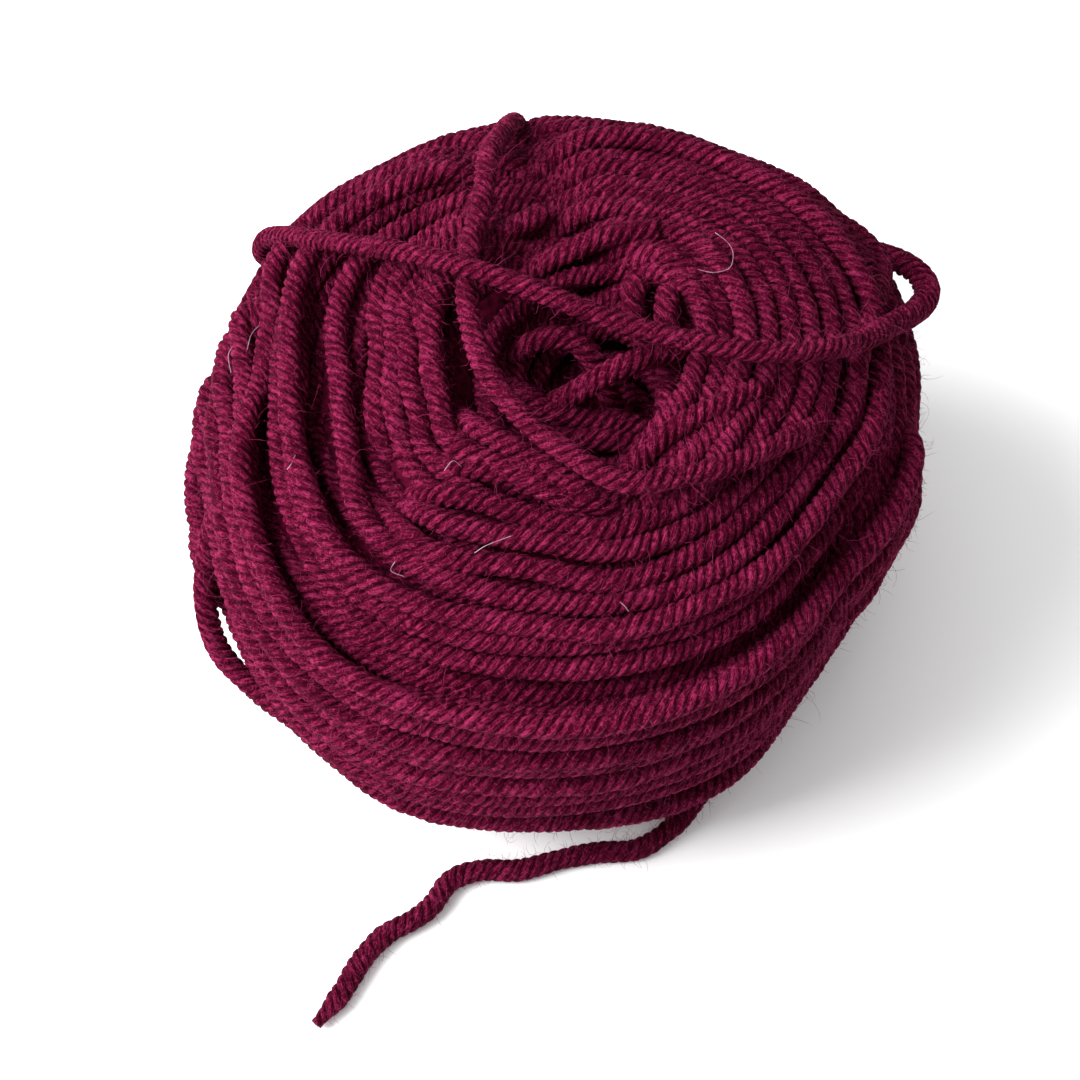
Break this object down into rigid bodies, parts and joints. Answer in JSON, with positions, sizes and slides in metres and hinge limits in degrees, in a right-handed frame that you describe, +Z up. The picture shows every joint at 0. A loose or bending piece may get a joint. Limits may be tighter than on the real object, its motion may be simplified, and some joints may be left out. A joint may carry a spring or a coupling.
{
  "type": "wool yarn ball",
  "caption": "Centre-pull ball of plied burgundy wool yarn with an open middle on top, a slack loop at one side and a loose tail.",
  "frame": {"origin": "under the middle of the ball, on the surface that it rests on", "axes": "+Z up along the ball's low axis, +X to the right and -Y towards the viewer, where the loose tail lies"},
  "size_m": [0.0944, 0.1097, 0.0739],
  "materials": {
    "wool": "matte",
    "tail_wool": "matte"
  },
  "bodies": {
    "root": {"ball": "wool", "tail": "tail_wool"}
  },
  "joints": []
}
